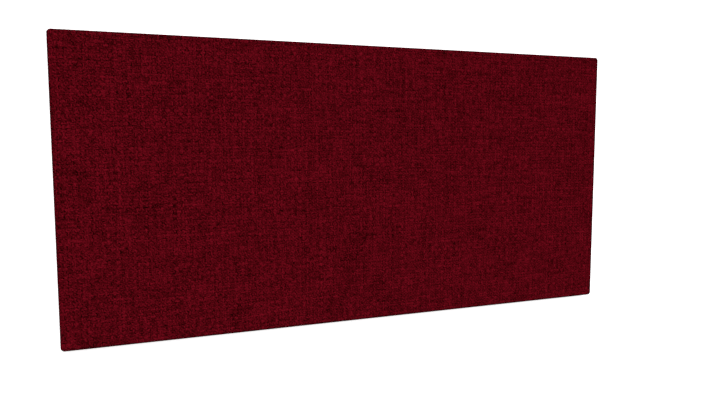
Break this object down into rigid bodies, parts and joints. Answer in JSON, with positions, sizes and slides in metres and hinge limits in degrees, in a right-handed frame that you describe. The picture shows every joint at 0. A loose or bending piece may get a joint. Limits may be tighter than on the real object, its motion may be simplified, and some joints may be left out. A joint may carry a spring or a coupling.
{
  "type": "fabric acoustic wall panel",
  "caption": "Flat oblong sound-absorbing wall panel: a rigid fibre board wrapped over face and sides in coarse woven cloth, with small rounded corners and mitred returns on the back.",
  "frame": {"origin": "middle of the back, on the plane of the fabric returns", "axes": "+X along the panel's long side, +Y along its short side, up on the wall, +Z out of its face"},
  "size_m": [1.22, 0.6, 0.027],
  "materials": {
    "board": "pressed glass fibre, matt",
    "cloth": "coarse plain weave, heathered crimson, matt"
  },
  "bodies": {
    "root": {"core_board": "board", "fabric_cover": "cloth"}
  },
  "joints": []
}
